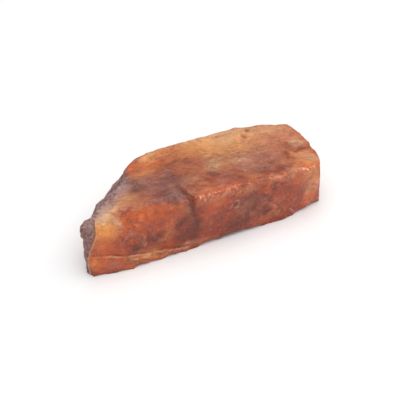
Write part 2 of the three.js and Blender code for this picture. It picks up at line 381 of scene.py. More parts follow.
def relief(p, near_edge):
    """Lumps + dishes + grain + streaks + bites at the edges, in mm."""
    x, y, z = p.T
    rough, ridge = rough_share(p), ridge_share(p)
    front = ramp((-6 - y) / 3)
    top = ramp((z - 13) / 3) * (1 - front)
    lumps = 0.24 * noise(p, (9, 6, 6)) + 0.20 * noise(p, (3.4, 3, 3), 31.7)
    coarse = 0.012 + 0.16 * rough + 0.2 * ridge
    fine = 0.1 * rough + 0.08 * ridge
    grain = sugar(p) * coarse + noise(p, (0.5, 0.5, 0.5), 7.7) * fine
    broken = dishes(p) * (0.45 + 0.55 * front)
    grooves = streaks(p) * (0.08 * top + 0.01 * front)
    bite_depth = 0.12 + 0.5 * ramp((3 - z) / 2) + 0.1 * rough + 0.3 * ridge
    bites = np.maximum(0, noise(p, (1.8, 1.4, 1.4), 12.5)) * bite_depth
    return lumps + grain + broken + grooves + bites * near_edge


def outside(p):
    """How far p is outside the stone, mm: planes, then relief, chips and the flat foot."""
    tall = soft_max(face_heights(p, LEFT_TALL), WORN_EDGE)
    low = soft_max(face_heights(p, LEFT_LOW), WORN_EDGE)
    left = -soft_max(np.stack([-tall, -low], -1), LEFT_JOIN)
    faces = face_heights(p, FACES)
    heights = np.concatenate([faces, left[:, None], -p[:, 2:]], -1)
    near_edge = ramp((soft_max(heights, 0.9) - heights.max(-1) - 0.12) / 0.4)
    ridge_sides = np.stack([faces[:, pick].max(-1) for pick in RIDGE_SIDES], -1)
    round_ridge = soft_max(ridge_sides, RIDGE_ROUNDING) - 4 * (1 - ramp((-5 - p[:, 0]) / 7))
    block = soft_max(np.concatenate([heights[:, :-1], round_ridge[:, None]], -1), WORN_EDGE)
    steps = ledge(p) + tip_step(p) + back_ledge(p)
    carved = block + relief(p, near_edge) + steps + crack(p) + open_seams(p)
    cuts = [carved[:, None], ball_cuts(p, CHIPS), ball_cuts(p, PITS)]
    return np.maximum(soft_max(np.concatenate(cuts, -1), CHIP_EDGE), -p[:, 2])


print("at the middle of the stone the formula gives %.1f mm" % outside(np.array([[0.0, 4.0, 9.0]]))[0])

# %% [markdown]
# ## From the formula to a mesh
#
# A voxel remesh or marching cubes would find the surface, but both leave a stair pattern.
# We take the six sides of a finely divided box, weld them, and slide every vertex along a
# line that starts on a bent spine inside the stone, until the formula reads zero. The
# stretch that holds the zero is halved again and again, for all vertices at once. The box
# follows the stone closely, so the squares stay even and the box's edges fall on the
# stone's own edges.

# %% The divided box
SEGMENTS = (256, 98, 68)


def box_patch(side, sign):
    """One side of the box -1..1: a grid over two axes with the third held at sign."""
    across, up = (side + 1) % 3, (side + 2) % 3
    s = np.linspace(-1, 1, SEGMENTS[across] + 1)
    t = np.linspace(-1, 1, SEGMENTS[up] + 1)
    points = np.zeros((len(s), len(t), 3))
    points[..., across], points[..., up] = np.meshgrid(s, t, indexing="ij")
    points[..., side] = sign
    index = np.arange(points[..., 0].size).reshape(len(s), len(t))
    squares = np.stack([index[:-1, :-1], index[1:, :-1], index[1:, 1:], index[:-1, 1:]], -1)
    squares = squares.reshape(-1, 4)
    return points.reshape(-1, 3), squares if sign > 0 else squares[:, ::-1]


def divided_box():
    """All six sides with the doubled vertices along the edges welded."""
    points, squares, count = [], [], 0
    for side in range(3):
        for sign in (-1, 1):
            patch, faces = box_patch(side, sign)
            points.append(patch)
            squares.append(faces + count)
            count += len(patch)
    points = np.concatenate(points)
    key = np.round(points * 1e6).astype(np.int64)
    _, first, welded = np.unique(key, axis=0, return_index=True, return_inverse=True)
    return points[first], welded.reshape(-1)[np.concatenate(squares)]


box_points, squares = divided_box()
print(len(box_points), "vertices,", len(squares), "squares")

# %% Slide the vertices onto the stone
SPINE_REACH, SPINE_Z = 27.0, 9.0
SPINE_Y = ([-1, -0.2, 1], [-3, 3, 4])
FRONT_Y, DEPTH_Y = -10.3, 29.4
# the sides of the box: x of its ends at each y, then y of its front and back at each x
LEFT_END = ([FRONT_Y, -4.5, 17.5], [-37.2, -40.2, -12.6])
RIGHT_END = ([FRONT_Y, -6.6, 5, 14.5], [39.0, 39.4, 41.2, 39.8])
FRONT_SIDE = ([-37, -30, 28, 39], [-8.8, FRONT_Y, FRONT_Y, -7.6])
BACK_SIDE = ([-12, 22, 39], [17.4, 20.4, 15.2])
BOX_FOOT, BOX_HEIGHT = -0.6, 19.9
NEAREST, FARTHEST = 0.1, 1.6


def lines(uvw):
    """For box points -1..1: starts on the spine, and ends just outside the stone."""
    u, v, w = uvw.T
    y_guess = FRONT_Y + DEPTH_Y * (v + 1) / 2
    left, right = np.interp(y_guess, *LEFT_END), np.interp(y_guess, *RIGHT_END)
    x = left + (right - left) * (u + 1) / 2
    front, back = np.interp(x, *FRONT_SIDE), np.interp(x, *BACK_SIDE)
    y = front + (back - front) * (v + 1) / 2
    z = BOX_FOOT + (BOX_HEIGHT - TOP_FALL * x) * (w + 1) / 2
    spine_y = np.interp(u, *SPINE_Y)
    start = np.stack([u * SPINE_REACH, spine_y, np.full_like(u, SPINE_Z)], -1)
    return start, np.stack([x, y, z], -1)


def on_surface(uvw, halvings=17):
    """Halve the stretch of each line that holds the zero of outside()."""
    start, end = lines(uvw)
    inner = np.full(len(uvw), NEAREST)
    outer = np.full(len(uvw), FARTHEST)
    for _ in range(halvings):
        middle = (inner + outer) / 2
        out = outside(start + (end - start) * middle[:, None]) > 0
        outer = np.where(out, middle, outer)
        inner = np.where(out, inner, middle)
    return start + (end - start) * inner[:, None]


stone_points = on_surface(box_points)
low, high = stone_points.min(0), stone_points.max(0)
print("the fine stone runs from", np.round(low, 2), "to", np.round(high, 2), "mm")

# %% [markdown]
# ## Into the frame, and into Blender
#
# The frame's origin is the middle of the underside. The fine stone is moved there by the
# middle of its box, and its vertices, in metres, go straight into a mesh with
# `from_pydata`. The new piece rides on the body `root`, the plain solid `raw_jade` is
# hidden, and the piece later gets the material `jade`.

# %% Make the stone
shift = (node_low + node_high) / 2 - (low + high) / 2
shift[2] = node_low[2] - low[2]
frame_points = (stone_points + shift) * MM

stone_mesh = bpy.data.meshes.new("raw_jade_stone")
stone_mesh.from_pydata(frame_points.tolist(), [], squares.tolist())
stone_mesh.polygons.foreach_set("use_smooth", np.ones(len(squares), bool))
stone_mesh.update()
stone = bpy.data.objects.new("raw_jade_stone", stone_mesh)
bpy.context.scene.collection.objects.link(stone)
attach(stone, "root")
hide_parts("raw_jade")
print("moved by", np.round(shift, 2), "mm;", len(stone_mesh.polygons), "faces")

# %% [markdown]
# ## The clouds of colour
#
# The colour of jade is in the stone, not on it: iron has stained it in clouds and bands
# that the faces happen to cut. Painting it on by hand would hide that. So colour, too, is
# a function of space: a ground of rust below and tan above, then clouds of the named
# colours over it, each with a middle, two reaches, a turn and a strength. Warping the
# space first makes their edges ragged. The result is stored on the mesh, and the material
# reads it.

# %% The colours that the stone is made of
JADE = {
    "amber": (238, 164, 88),
    "honey": (222, 156, 92),
    "tan": (194, 132, 92),
    "olive": (170, 122, 84),
    "orange": (214, 108, 58),
    "rust": (174, 80, 46),
    "brick": (152, 68, 48),
    "maroon": (102, 44, 30),
    "plum": (138, 90, 84),
    "slate": (136, 102, 98),
    "lilac": (200, 170, 164),
    "mauve": (172, 112, 98),
    "salmon": (202, 130, 96),
    "cream": (220, 184, 152),
    "pink": (234, 164, 136),
    # the colour of the painted glints on the crumbled ridge
    "glint": (250, 200, 168),
    "shadow": (96, 58, 54),
}


def linear(rgb):
    """Screen values 0..255 to the linear values that Blender mixes: ((c + .055) / 1.055)^2.4."""
    c = np.array(rgb, float) / 255
    return np.where(c > 0.04045, ((c + 0.055) / 1.055) ** 2.4, c / 12.92)


PALETTE = {name: linear(rgb) for name, rgb in JADE.items()}


def plain(name):
    """A colour of the stone as the four values of a node's socket."""
    return (*PALETTE[name], 1)


def mixed(colour, name, share):
    """The colour moved towards a palette colour by a share from 0 to 1."""
    return colour + (PALETTE[name] - colour) * np.clip(share, 0, 1)[:, None]


print(len(JADE), "colours")

# %% [markdown]
# The top face and the front face each have their own list, because a cloud is easiest to
# place on the face that shows it. A row gives the colour, the middle along X and across
# the face, the long and the short reach in mm, the turn in degrees and the strength.

# %% Clouds that the top face cuts
TOP_CLOUDS = [
    # the tan and amber back half
    ("tan", (16, 8), (24, 10), 0, 0.9),
    ("cream", (18, 8), (18, 8), 0, 0.12),
    ("salmon", (29, 10), (10, 6), -15, 0.7),
    ("honey", (9, 13), (13, 5), 5, 0.75),
    ("cream", (16, 13.6), (8, 3), 0, 0.5),
    ("amber", (9, 14.6), (5.4, 2.2), 10, 0.4),
    ("amber", (18, 14), (5, 2.4), -5, 0.4),
    ("cream", (14, 17), (14, 1.6), -3, 0.55),
    ("olive", (13, 10.4), (5, 3), 60, 0.45),
    ("cream", (31, 13.6), (7, 2.6), -15, 0.4),
    ("mauve", (36, 10.5), (2.6, 3), -60, 0.3),
    ("brick", (30.6, 4.2), (4, 2.6), -20, 0.55),
    ("mauve", (28, 7.4), (3, 2), 30, 0.4),
    # the mauve middle with pale spots
    ("mauve", (21, 1.4), (8, 4), -12, 0.85),
    ("olive", (7.5, 3), (4.5, 3.8), 60, 0.5),
    ("cream", (15, 1.8), (3, 2), 0, 0.55),
    ("cream", (6.4, 2.6), (3, 2.4), 60, 0.45),
    ("brick", (3.8, -0.8), (2.4, 1.5), -40, 0.7),
    ("brick", (0, 12), (6, 3.4), 0, 0.35),
    ("brick", (2.4, 4.4), (2, 1.4), 80, 0.45),
    ("brick", (1, 7.4), (4, 2.4), 5, 0.5),
    ("salmon", (1.5, 11.6), (2.4, 2), 60, 0.5),
    # the orange and brown left half
    ("rust", (-8, 8), (11, 7), 15, 0.4),
    ("orange", (-12.5, 11), (6, 3.4), 30, 0.35),
    ("honey", (-11, 13.4), (5, 2), 25, 0.55),
    ("maroon", (-6.8, 6.8), (3, 3), 90, 0.6),
    ("maroon", (-3.6, 9.6), (2, 1.6), 0, 0.3),
    ("cream", (-10, 15.6), (4, 1.2), 15, 0.4),
    ("orange", (-19.6, 7.8), (3, 1.3), 50, 0.85),
    ("orange", (-16.8, 10.4), (2.4, 1), 50, 0.6),
    ("tan", (-16.2, 6.4), (4, 2.8), 30, 0.6),
    ("mauve", (-11, 5), (5, 2.2), 0, 0.5),
    ("honey", (-12.4, 8.4), (3, 1.6), 20, 0.4),
    # the plum cloud left of the crack
    ("plum", (-13, -1), (9, 5.6), -20, 0.8),
    ("plum", (-12, -5.6), (6, 3.6), -10, 0.8),
    ("plum", (-18, 2.6), (4.5, 2.8), 10, 0.85),
    ("maroon", (-19.8, 2), (2.8, 2), 0, 0.75),
    ("maroon", (-7, 1), (3.8, 2.2), -10, 0.55),
    ("maroon", (-12, -5.4), (3, 1.8), -10, 0.4),
    ("plum", (-8, -1), (2.8, 2), 0, 0.6),
    ("plum", (-8, -3.8), (1.8, 2.4), 0, 0.5),
    ("brick", (-17, -4.6), (3.4, 2.2), -15, 0.35),
    ("maroon", (-8.6, -6.6), (1.6, 2), 0, 0.6),
    ("plum", (-9, 1.4), (4, 3), 0, 0.8),
    ("plum", (-10, -5.4), (2.6, 2.4), 0, 0.75),
    ("plum", (-15, -6.6), (3, 1.8), 0, 0.5),
    # the pale band along the strip, and the orange shoulder
    ("cream", (-24, 0.2), (3, 3), 30, 0.25),
    ("olive", (-22.6, -2.4), (3.2, 2.6), 20, 0.5),
    ("honey", (-27.6, -4.6), (3.6, 2), 20, 0.5),
    ("cream", (-29.5, -4), (4.4, 2.4), 25, 0.55),
    ("cream", (-33, -7.4), (3.8, 2.8), 20, 0.95),
    ("maroon", (-25.6, -6.6), (2.4, 1.4), 0, 0.35),
    ("honey", (-32.4, -9), (3.4, 1.6), 0, 0.5),
    ("orange", (-21, -9.4), (8, 2.6), 0, 0.9),
    ("mauve", (-25.4, -6.4), (2.4, 1.5), 0, 0.75),
    ("rust", (-24, -8.4), (6, 2.2), 0, 0.85),
    ("brick", (-15, -8.4), (3.2, 2.2), 0, 0.7),
    ("cream", (-31, -4.2), (4.4, 1.6), 27, 0.5),
    ("olive", (-26.4, -1.4), (4, 1.6), 30, 0.45),
    ("maroon", (6, -6.2), (3.4, 1.6), 0, 0.35),
    ("maroon", (-11.6, -5), (3, 1.8), 0, 0.3),
    ("cream", (35, 4), (2.4, 2), 0, 0.5),
    # the front half right of the crack
    ("olive", (-2.6, -1.4), (3.2, 3), 0, 0.5),
    ("brick", (-2, 3.2), (4, 3), 0, 0.45),
    ("brick", (-3.2, -5.6), (3.4, 2.2), 0, 0.5),
    ("mauve", (-2, -1.2), (4.4, 2.4), 0, 0.6),
    ("mauve", (15, -1), (5, 1.8), 0, 0.7),
    ("plum", (13, -3.4), (5, 1.8), -5, 0.4),
    ("mauve", (4, 6), (3.6, 2), 0, 0.4),
    ("mauve", (22, 5), (3.4, 2.4), 0, 0.5),
    ("mauve", (27, 8.4), (7, 2), 0, 0.35),
    ("maroon", (5, -4.2), (3, 1.8), 0, 0.3),
    ("brick", (6, -5), (8, 3.6), -10, 0.95),
    ("mauve", (6, -4.6), (4, 2.4), 0, 0.5),
    ("plum", (20.5, -4.4), (7, 3), -5, 0.65),
    ("brick", (23, -7), (7, 2.2), 0, 0.9),
    ("maroon", (19, -4.8), (2.4, 1.2), 0, 0.4),
    ("maroon", (24.4, -6.4), (1.8, 1.4), 0, 0.5),
    ("tan", (13.5, -5.6), (2.2, 1.6), 0, 0.35),
    # the pale blunt end
    ("tan", (33, -4), (4.6, 3.4), -10, 0.8),
    ("cream", (35.6, -4.4), (2.4, 3), 0, 0.35),
    ("orange", (31.5, -8.4), (4.4, 1.8), -10, 0.3),
    ("brick", (28.6, -1.4), (1.6, 3), 0, 0.65),
    ("cream", (34.8, 4.4), (2.6, 1.7), -15, 0.55),
    # deeper middle, paler back edge
    ("maroon", (2, 1.5), (11, 6), 0, 0.18),
    ("maroon", (20, 2), (8, 7), 0, 0.14),
    ("maroon", (-8.6, -3), (6, 4.6), 0, 0.2),
    ("maroon", (-20, -7), (6.4, 2.6), 0, 0.2),
    ("cream", (17, 15), (9, 3), -4, 0.3),
    ("honey", (14, 12), (13, 5), 0, 0.3),
    ("cream", (16, 13.6), (11, 3), -3, 0.2),
]

# %% Clouds that the front face cuts
FRONT_CLOUDS = [
    # the glowing tip
    ("orange", (-33, 10), (6.5, 6), 0, 0.95),
    ("amber", (-33.4, 15), (4.4, 4), 0, 0.95),
    ("cream", (-33.4, 18.6), (3.6, 2), 0, 0.75),
    ("cream", (-29.4, 17.6), (3.4, 1.4), -55, 0.5),
    ("cream", (-31, 17.4), (3.4, 1.2), -35, 0.45),
    ("orange", (-24.5, 17.5), (6, 3), 0, 0.6),
    ("orange", (-16, 16), (9, 3.4), -5, 0.5),
    ("salmon", (-15.5, 17.6), (6, 1.6), 0, 0.35),
    ("orange", (-13, 16.8), (2.6, 1.3), 0, 0.5),
    # round the shell mark
    ("brick", (-28.6, 9.4), (3.2, 3.2), 90, 0.6),
    ("brick", (-24.5, 8.8), (4, 3.2), 0, 0.45),
    ("maroon", (-23.8, 6.2), (2.8, 1.8), 0, 0.8),
    ("maroon", (-19, 8.2), (3.6, 2.6), 0, 0.7),
    ("brick", (-19, 13), (4, 2.2), 0, 0.45),
    ("maroon", (-16.8, 6.6), (2, 3), 0, 0.4),
    ("honey", (-13.6, 8.6), (2, 3), 0, 0.3),
    # the dark belt by the crack
    ("maroon", (-9.4, 10.8), (2.8, 2.8), 0, 0.6),
    ("maroon", (-9.8, 6), (3, 2), 0, 0.5),
    ("maroon", (-8.6, 4.2), (3.8, 3), 0, 0.7),
    ("olive", (-8, 15.2), (1.5, 1.3), 0, 0.5),
    ("maroon", (-5.2, 9), (1, 2), 0, 0.7),
    # the layer under the ledge
    ("orange", (-36.5, 5), (3.4, 3.6), 90, 0.95),
    ("amber", (-37, 5), (2, 2.4), 0, 0.4),
    ("mauve", (-31.6, 3.6), (2.4, 1.5), -20, 0.7),
    ("olive", (-26.4, 3), (2.4, 1.1), -20, 0.7),
    ("orange", (-26.6, 1), (2, 1.1), -30, 0.85),
    ("honey", (-20, 2.3), (5.6, 1.3), -12, 0.9),
    ("orange", (-20.5, 1), (3.4, 0.8), -5, 0.7),
    ("slate", (-13, 1.2), (2.4, 0.9), -10, 0.6),
    ("pink", (-6.6, 1.4), (3.6, 1.3), 5, 0.95),
    # the ridge
    ("salmon", (3, 17), (9, 1.7), 0, 0.45),
    ("tan", (12, 16.4), (3, 1.8), -5, 0.7),
    ("pink", (5, 17.6), (3, 0.9), 0, 0.35),
    ("plum", (17.6, 17.6), (2.6, 1.2), 0, 0.5),
    ("salmon", (22.4, 16.2), (4, 1.4), -5, 0.9),
    ("pink", (22, 16.8), (3, 0.7), -3, 0.35),
    ("orange", (21, 14.4), (4.4, 1.6), 0, 0.4),
    ("orange", (31, 16), (4, 1.8), 0, 0.6),
    # plum and maroon right of the crack
    ("brick", (-1.5, 6), (4, 5), 0, 0.4),
    ("maroon", (1.6, 10.6), (2.6, 2), 0, 0.35),
    ("maroon", (6.4, 11.2), (1.4, 1.2), 0, 0.3),
    ("plum", (12.6, 11), (5, 3.4), -20, 0.55),
    ("maroon", (14.4, 12.2), (3, 1.8), -20, 0.45),
    ("brick", (8.5, 8.6), (3.6, 3), 0, 0.5),
    ("maroon", (7.4, 5), (5, 3), 0, 0.85),
    ("maroon", (11.5, 4.6), (3, 2), 0, 0.5),
    ("brick", (17.4, 8.4), (2.8, 2.6), 90, 0.9),
    ("maroon", (17.8, 9), (1.6, 1.6), 0, 0.35),
    ("brick", (22.5, 13), (5, 2.6), -10, 0.7),
    ("brick", (25, 8), (4, 4), 0, 0.4),
    ("tan", (21, 4.6), (3, 2), 0, 0.4),
    ("orange", (15.6, 3.4), (2.4, 1.8), 0, 0.55),
    ("maroon", (11, 8.8), (2.6, 2.2), 0, 0.85),
    ("maroon", (12, 12.4), (3.4, 1.6), -20, 0.45),
    ("maroon", (-17.6, 8.8), (2, 1.8), 0, 0.4),
    ("rust", (32.6, 13), (1.6, 2), 0, 0.4),
    ("maroon", (16, 5.6), (3.6, 2.2), 0, 0.45),
    ("brick", (4, 5), (20, 4.6), 0, 0.3),
    # the warm right end
    ("brick", (29.2, 7), (1.7, 3.8), 0, 0.75),
    ("orange", (31.4, 13.6), (4.4, 3), 0, 0.9),
    ("salmon", (31, 13), (3, 1.6), 0, 0.4),
    ("honey", (33.6, 12), (2, 4), 0, 0.6),
    ("tan", (32.2, 8), (2.2, 2.2), 0, 0.9),
    ("cream", (32.2, 8), (1.4, 1.6), 0, 0.25),
    ("rust", (35, 12.4), (1.6, 2), 0, 0.6),
    ("pink", (35.2, 8), (1.1, 3), 0, 0.8),
    ("orange", (33, 4.6), (3, 2.4), 0, 0.8),
    ("orange", (30.6, 16), (3, 1.6), 0, 0.4),
    ("amber", (33.4, 12.4), (1.5, 3.4), 0, 0.45),
    ("brick", (29.4, 7), (1.4, 3), 0, 0.4),
    ("brick", (17.4, 8.2), (2, 1.8), 0, 0.4),
    ("maroon", (-9.2, 10.8), (2, 2), 0, 0.45),
    ("orange", (-25, 9.6), (1.8, 1.6), 0, 0.35),
    # deeper middle
    ("maroon", (11, 10.6), (4.6, 3.6), 0, 0.3),
    ("maroon", (2, 4), (24, 5), 0, 0.12),
    ("orange", (-33, 11), (3, 3.4), 0, 0.5),
    ("orange", (30.6, 10.4), (2, 2), 0, 0.6),
    ("cream", (27, 17), (3, 1), 0, 0.4),
    ("salmon", (32.6, 13), (2.4, 3.4), 0, 0.5),
    ("honey", (33.4, 14), (1.8, 3), 0, 0.6),
    ("tan", (27.6, 17), (2.4, 1), 0, 0.6),
    # the glow and the pale top of the tip
    ("amber", (-32.4, 14.4), (3.2, 2.4), 0, 0.7),
    ("cream", (-33, 18), (4.4, 2), 0, 0.7),
]
print(len(TOP_CLOUDS), "clouds on the top,", len(FRONT_CLOUDS), "on the front")

# %% [markdown]
# ## Mixing the clouds
#
# Each cloud fades as exp(-d^3), almost flat inside and quick at its rim. Before the
# clouds are read, every point is pushed about by noise of three sizes, so that a round
# rim turns into bays, wisps and frayed edges. The ground below them is streaked along
# the bed, the plane in which the rock grew. The back, the ends and the underside have no
# list of their own: slow noise clouds them with the colours of ELSEWHERE. TONE warms
# every colour a little, and FRONT_TINT warms the front a little more.

# %% Mix the ground and the clouds
TONE = np.array([0.99, 0.895, 0.785])
FRONT_TINT = np.array([0.03, -0.03, -0.1])
BED = np.array([[0.958, 0.0, -0.287], [0.207, 0.692, 0.692], [0.2, 0.72, 0.66]])
ELSEWHERE = [("honey", 0.5, 91.0), ("plum", 0.6, 93.0), ("maroon", 0.5, 95.0)]
WARPS = {(6, 5, 5): 0.9, (2.4, 2, 2): 0.7, (1.2, 1, 1): 0.2}


def warped(p):
    """p pushed by noise, by the given mm at each size."""
    for size, reach in WARPS.items():
        push = [noise(p, size, shift) for shift in (11.0, 23.0, 37.0)]
        p = p + reach * np.stack(push, -1)
    return p


def cloud_share(across, up, middle, reach, turn):
    """exp(-d^3), where d is the distance from the middle, counted in reaches."""
    cos, sin = np.cos(np.radians(turn)), np.sin(np.radians(turn))
    a, b = across - middle[0], up - middle[1]
    d2 = ((a * cos + b * sin) / reach[0]) ** 2 + ((b * cos - a * sin) / reach[1]) ** 2
    return np.exp(-(d2 ** 1.5))


def upper_share(p):
    """0 on the front, 1 on the top, with a soft change at the ridge."""
    return ramp((p[:, 2] - 13) / 4) * ramp((p[:, 1] + 9) / 2)


def front_share(y):
    """1 on the front, 0 from 2 mm behind it."""
    return ramp((-6 - y) / 2)


def clouded(p):
    """Ground along the bed, clouds of the top and the front, then slow noise elsewhere."""
    q = warped(p)
    x, y, z = q.T
    upper = upper_share(q)
    bands = ramp(0.5 + 0.8 * noise(q @ BED.T, (6, 5, 3.2), 3.0))
    colour = np.zeros_like(p) + PALETTE["rust"]
    colour = mixed(colour, "orange", 0.5 * bands)
    colour = mixed(colour, "tan", 0.7 * upper * bands)
    on_top = ramp((z - 12) / 3) * ramp((y + 11) / 2)
    for name, middle, reach, turn, strength in TOP_CLOUDS:
        colour = mixed(colour, name, strength * on_top * cloud_share(x, y, middle, reach, turn))
    on_front = front_share(y)
    for name, middle, reach, turn, strength in FRONT_CLOUDS:
        colour = mixed(colour, name, strength * on_front * cloud_share(x, z, middle, reach, turn))
    colour = colour * (1 + on_front[:, None] * FRONT_TINT)
    elsewhere = 1 - np.maximum(on_top, on_front)
    for name, strength, shift in ELSEWHERE:
        colour = mixed(colour, name, strength * elsewhere * ramp(noise(q, (8, 6, 5), shift) + 0.2))
    return colour


colour = TONE * clouded(stone_points)
print("mean colour of the clouds, linear:", np.round(colour.mean(0), 3))

# %% [markdown]
# ## Mottle
#
# Between the clouds and the grain the stone is mottled. Blotches of one to three
# millimetres are purplish brown where the noise is high and pale orange where it is low.
# Grains of one or two millimetres only change the brightness. A slower noise makes some
# patches quiet and others busy, as in the real thing.

# %% Mottle
BLOTCHES = {(3, 2.6, 2.6): 0.4, (1.5, 1.3, 1.3): 0.5}
GRAINS = {(2.4, 1.3, 1.3): 0.08, (1.2, 1, 1): 0.08}


def mottled(p, colour):
    """Blotches, dark where their noise is high and pale where low, times the grains' shade."""
    value = sum(weight * noise(p, size, 43.0) for size, weight in BLOTCHES.items())
    shade = sum(weight * noise(p, size, 47.0) for size, weight in GRAINS.items())
    busy = 0.45 + 0.55 * ramp(0.5 + noise(p, (7, 6, 6), 57.0))
    colour = mixed(colour, "maroon", 0.56 * busy * ramp((value - 0.05) / 0.6))
    upper, pale = upper_share(p), busy * ramp((-value - 0.05) / 0.6)
    colour = mixed(colour, "salmon", 0.34 * pale * (1 - upper))
    colour = mixed(colour, "honey", 0.32 * pale * upper)
    return colour * (1 + shade * (0.6 + 0.8 * busy))[:, None]


colour = mottled(stone_points, colour)

# %% [markdown]
# ## Strokes
#
# Cracks that have healed leave short dark or pale lines. Each is a segment on the top or
# on the front with a width, and fades with the distance to the segment. A knock leaves a
# ring-shaped bruise instead: RINGS gives its middle, its radius and its width.

# %% Dark and pale strokes
TOP_STROKES = [
    ("plum", (-10.6, -3.6), (-8.8, -7), 1.3, 0.75),
    ("maroon", (-8.7, -2.4), (-7.3, -6), 0.35, 0.7),
    ("maroon", (-7.3, -6), (-7, -10), 0.4, 0.7),
    ("maroon", (-1.4, -2.9), (1.4, -3), 0.35, 0.6),
    ("maroon", (-12.2, 5.8), (-9, 6.4), 0.4, 0.5),
    ("maroon", (28.3, -3), (29.4, 0.9), 0.5, 0.5),
    ("maroon", (32.6, 0.3), (36.6, 1), 0.4, 0.7),
    ("maroon", (30.6, 2.4), (32.4, 0.2), 0.6, 0.4),
    ("maroon", (2.7, 0), (4.6, -1.4), 0.8, 0.6),
    ("orange", (30.6, -8.8), (35, -8), 0.5, 0.7),
    ("maroon", (19.4, -4.2), (21, -4), 0.4, 0.5),
    ("maroon", (22.2, -2.6), (22.9, -2.6), 0.45, 0.5),
    ("maroon", (26.4, -6.4), (27, -6.4), 0.4, 0.6),
    ("maroon", (6, -3.3), (7, -3.3), 0.4, 0.4),
    ("rust", (21.2, 12), (21.4, 13.4), 0.7, 0.6),
    ("rust", (23.8, 15), (24, 15.8), 0.7, 0.6),
]
FRONT_STROKES = [
    ("cream", (-34.5, 17.2), (-31.4, 19.4), 0.6, 0.6),
    ("cream", (-30.8, 19.6), (-28.4, 16.2), 0.5, 0.6),
    ("maroon", (-27.6, 3.4), (-24.8, 2.5), 0.3, 0.6),
    ("cream", (-25.6, 3.3), (-24.6, 3.2), 0.3, 0.7),
    ("maroon", (-23.4, 2.6), (-21.2, 1.9), 0.25, 0.7),
    ("cream", (-22.4, 3.1), (-20.8, 2.9), 0.3, 0.6),
    ("maroon", (-19.8, 2.9), (-16.2, 2.1), 0.25, 0.6),
    ("cream", (-29, 19.6), (-27.4, 17.2), 0.3, 0.3),
    ("mauve", (-27.6, 10.4), (-25.6, 12), 0.4, 0.5),
    ("mauve", (-25.6, 12), (-23.4, 10), 0.4, 0.6),
    ("mauve", (-23.4, 10), (-22.2, 7.8), 0.4, 0.5),
    ("maroon", (-4.8, 9.8), (-5.2, 8), 0.6, 0.6),
    ("maroon", (-6.8, 16), (-6, 12.6), 0.35, 0.6),
    ("maroon", (-6, 12.6), (-5.6, 8), 0.5, 0.4),
    ("pink", (20, 7), (20.6, 6), 0.4, 0.5),
    ("mauve", (16.6, 10.6), (18.6, 5.6), 0.3, 0.3),
    ("pink", (26, 3.2), (27.4, 1.2), 0.3, 0.4),
    ("brick", (29.8, 11), (30.4, 6), 0.4, 0.5),
    ("maroon", (30.4, 10.4), (33, 12.6), 0.6, 0.4),
    ("pink", (31.4, 3.6), (32.4, 3), 0.4, 0.4),
]
RINGS = [
    ("pink", (7, 11.9), 1.25, 0.35, 0.55),
    ("maroon", (7, 11.9), 0.6, 0.6, 0.5),
    ("maroon", (17.6, 7.5), 2.5, 0.5, 0.5),
    ("mauve", (17.6, 7.5), 3.3, 0.4, 0.4),
    ("mauve", (13, 9.6), 3.0, 0.4, 0.3),
    ("cream", (20.2, 6.5), 0.2, 0.4, 0.6),
    ("maroon", (-25, 8.4), 2.2, 0.5, 0.5),
    ("salmon", (-25, 8.4), 3.6, 0.4, 0.45),
]


def stroke_share(across, up, start, end, width):
    """exp(-(d / width)^2), where d is the distance to the line from start to end."""
    a, b = across - start[0], up - start[1]
    run, rise = end[0] - start[0], end[1] - start[1]
    t = np.clip((a * run + b * rise) / (run * run + rise * rise), 0, 1)
    return np.exp(-(((a - t * run) ** 2 + (b - t * rise) ** 2) / width ** 2))


def stroked(p, colour):
    """The strokes of the top and the front, slightly shaky, then the broken rings."""
    shake = [noise(p, (1.5, 1.5, 1.5), shift) for shift in (63.0, 65.0, 67.0)]
    x, y, z = (p + 0.4 * np.stack(shake, -1)).T
    on_top = ramp((z - 13) / 3) * ramp((y + 11) / 2)
    for name, start, end, width, strength in TOP_STROKES:
        colour = mixed(colour, name, strength * on_top * stroke_share(x, y, start, end, width))
    on_front = front_share(y)
    for name, start, end, width, strength in FRONT_STROKES:
        colour = mixed(colour, name, strength * on_front * stroke_share(x, z, start, end, width))
    on_front = on_front * ramp(0.6 + noise(p, (1.4, 1.2, 1.2), 71.0))
    for name, middle, radius, width, strength in RINGS:
        off_ring = np.hypot(x - middle[0], z - middle[1]) - radius
        colour = mixed(colour, name, strength * on_front * np.exp(-((off_ring / width) ** 2)))
    return colour


colour = stroked(stone_points, colour)
print(len(TOP_STROKES) + len(FRONT_STROKES), "strokes and", len(RINGS), "rings")

# %% [markdown]
# ## Painted shade and highlights that follow the shape
#
# The crack's valley and the pits are painted darker as shade in the hollows, and the foot
# is painted darker along the floor as shade. These reuse the distances that shaped them.
# Two marks are finer than the mesh: the pale lines round the ledge and the tip, which are
# painted highlights with painted shade beside them, and the painted shade in the open
# crack. For them only the distance to the line is stored. It changes evenly from vertex to
# vertex, so the material can draw a line of any width from it.

# %% Painted shade at the crack, the pits and the foot
FAR_AWAY = 9


def painted_shade_in_hollows_and_foot(p, colour):
    """Painted shade: maroon in the crack's valley and along the foot, brick in the pits."""
    x, y, z = p.T
    front = front_share(y)
    # painted shade in the crack's valley
    valley = np.exp(-(((crack_line(p) + 0.8) / VALLEY_WIDTH) ** 2)) * ramp((1 - y) / 6)
    colour = mixed(colour, "maroon", 0.5 * valley * front)
    # painted shade in the pits
    pits = 0.6 * np.exp(np.clip(ball_cuts(p, PITS).max(-1), -9, 0) * 3)
    colour = mixed(colour, "brick", pits)
    # painted shade along the foot, where it meets the floor
    return mixed(colour, "maroon", 0.5 * front * ramp((0.8 - z) / 0.6))


